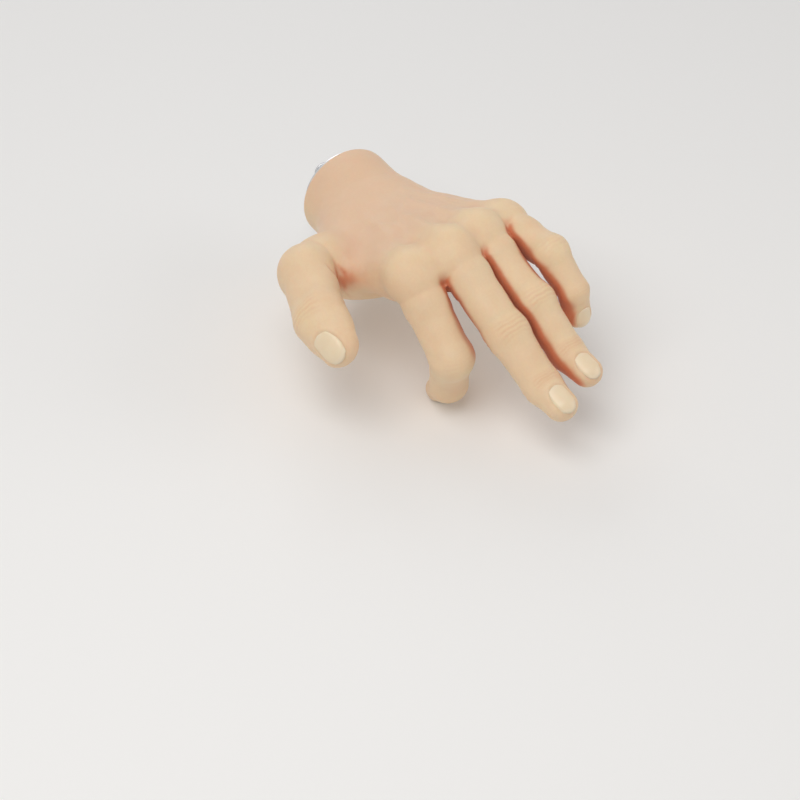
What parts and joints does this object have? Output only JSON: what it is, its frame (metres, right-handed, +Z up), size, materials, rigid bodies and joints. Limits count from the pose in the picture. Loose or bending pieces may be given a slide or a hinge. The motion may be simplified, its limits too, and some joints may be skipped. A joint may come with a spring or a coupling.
{
  "type": "prosthetic hand",
  "caption": "Passive cosmetic prosthetic left hand: skin-toned silicone over posable digits on friction hinges, a metal palm frame and a friction wrist with a mounting stud.",
  "frame": {"origin": "middle of the wrist stud's mounting face, on the stud's axis", "axes": "+Y runs up the forearm along the stud, +Z is up with the back of the hand upwards, the fingers point toward -Y and the thumb is at -X"},
  "size_m": [0.1278, 0.2084, 0.0868],
  "materials": {
    "skin": "satin, translucent skin-toned silicone",
    "nail": "satin",
    "core": "matte",
    "foam": "matte foam",
    "washer": "matte",
    "alloy": "machined",
    "steel": "machined"
  },
  "bodies": {
    "wrist": {"wrist_stud": "steel", "retaining_clip": "steel", "friction_washer": "washer"},
    "palm": {"wrist_block": "alloy", "palm_frame": "alloy", "frame_screws": "steel", "palm_filler": "foam", "back_filler": "foam", "palm_skin": "skin", "thumb_fork": "alloy", "thumb_base_pin": "steel", "index_fork": "alloy", "index_base_pin": "steel", "middle_fork": "alloy", "middle_base_pin": "steel", "ring_fork": "alloy", "ring_base_pin": "steel", "little_fork": "alloy", "little_base_pin": "steel"},
    "thumb_proximal": {"thumb_proximal_core": "core", "thumb_proximal_skin": "skin", "thumb_middle_pin": "steel"},
    "thumb_distal": {"thumb_distal_core": "core", "thumb_distal_skin": "skin", "thumb_nail": "nail"},
    "index_proximal": {"index_proximal_core": "core", "index_proximal_skin": "skin", "index_middle_pin": "steel"},
    "index_distal": {"index_distal_core": "core", "index_distal_skin": "skin", "index_nail": "nail"},
    "middle_proximal": {"middle_proximal_core": "core", "middle_proximal_skin": "skin", "middle_middle_pin": "steel"},
    "middle_distal": {"middle_distal_core": "core", "middle_distal_skin": "skin", "middle_nail": "nail"},
    "ring_proximal": {"ring_proximal_core": "core", "ring_proximal_skin": "skin", "ring_middle_pin": "steel"},
    "ring_distal": {"ring_distal_core": "core", "ring_distal_skin": "skin", "ring_nail": "nail"},
    "little_proximal": {"little_proximal_core": "core", "little_proximal_skin": "skin", "little_middle_pin": "steel"},
    "little_distal": {"little_distal_core": "core", "little_distal_skin": "skin", "little_nail": "nail"}
  },
  "joints": [
    {"name": "wrist_turn", "type": "hinge", "parent": "wrist", "child": "palm", "pos_m": [0, 0, 0], "axis": [0, 1, 0], "continuous": true},
    {"name": "thumb_base_hinge", "type": "hinge", "parent": "palm", "child": "thumb_proximal", "pos_m": [-0.05728, -0.06228, 0.00976], "axis": [0.4835, -0.2276, 0.8452], "range_deg": [-25, 15]},
    {"name": "thumb_middle_hinge", "type": "hinge", "parent": "thumb_proximal", "child": "thumb_distal", "pos_m": [-0.068, -0.09341, 0.00751], "axis": [0.4835, -0.2276, 0.8452], "range_deg": [-15, 30]},
    {"name": "index_base_hinge", "type": "hinge", "parent": "palm", "child": "index_proximal", "pos_m": [-0.02395, -0.11479, 0.01254], "axis": [0.9871, -0.062, 0.1476], "range_deg": [-20, 25]},
    {"name": "index_middle_hinge", "type": "hinge", "parent": "index_proximal", "child": "index_distal", "pos_m": [-0.02223, -0.13452, -0.00726], "axis": [0.9871, -0.062, 0.1476], "range_deg": [-45, 15]},
    {"name": "middle_base_hinge", "type": "hinge", "parent": "palm", "child": "middle_proximal", "pos_m": [-0.00267, -0.11818, 0.02106], "axis": [0.9919, 0.0708, 0.105], "range_deg": [-20, 25]},
    {"name": "middle_middle_hinge", "type": "hinge", "parent": "middle_proximal", "child": "middle_distal", "pos_m": [0.001, -0.14552, 0.00483], "axis": [0.9919, 0.0708, 0.105], "range_deg": [-2, 40]},
    {"name": "ring_base_hinge", "type": "hinge", "parent": "palm", "child": "ring_proximal", "pos_m": [0.01724, -0.11307, 0.02185], "axis": [0.9919, 0.0708, 0.105], "range_deg": [-20, 25]},
    {"name": "ring_middle_hinge", "type": "hinge", "parent": "ring_proximal", "child": "ring_distal", "pos_m": [0.02032, -0.13968, 0.01073], "axis": [0.9919, 0.0708, 0.105], "range_deg": [-10, 35]},
    {"name": "little_base_hinge", "type": "hinge", "parent": "palm", "child": "little_proximal", "pos_m": [0.03585, -0.10737, 0.02324], "axis": [0.9912, 0.0874, 0.0996], "range_deg": [-20, 25]},
    {"name": "little_middle_hinge", "type": "hinge", "parent": "little_proximal", "child": "little_distal", "pos_m": [0.03745, -0.12724, 0.02478], "axis": [0.9912, 0.0874, 0.0996], "range_deg": [-35, 25]}
  ]
}
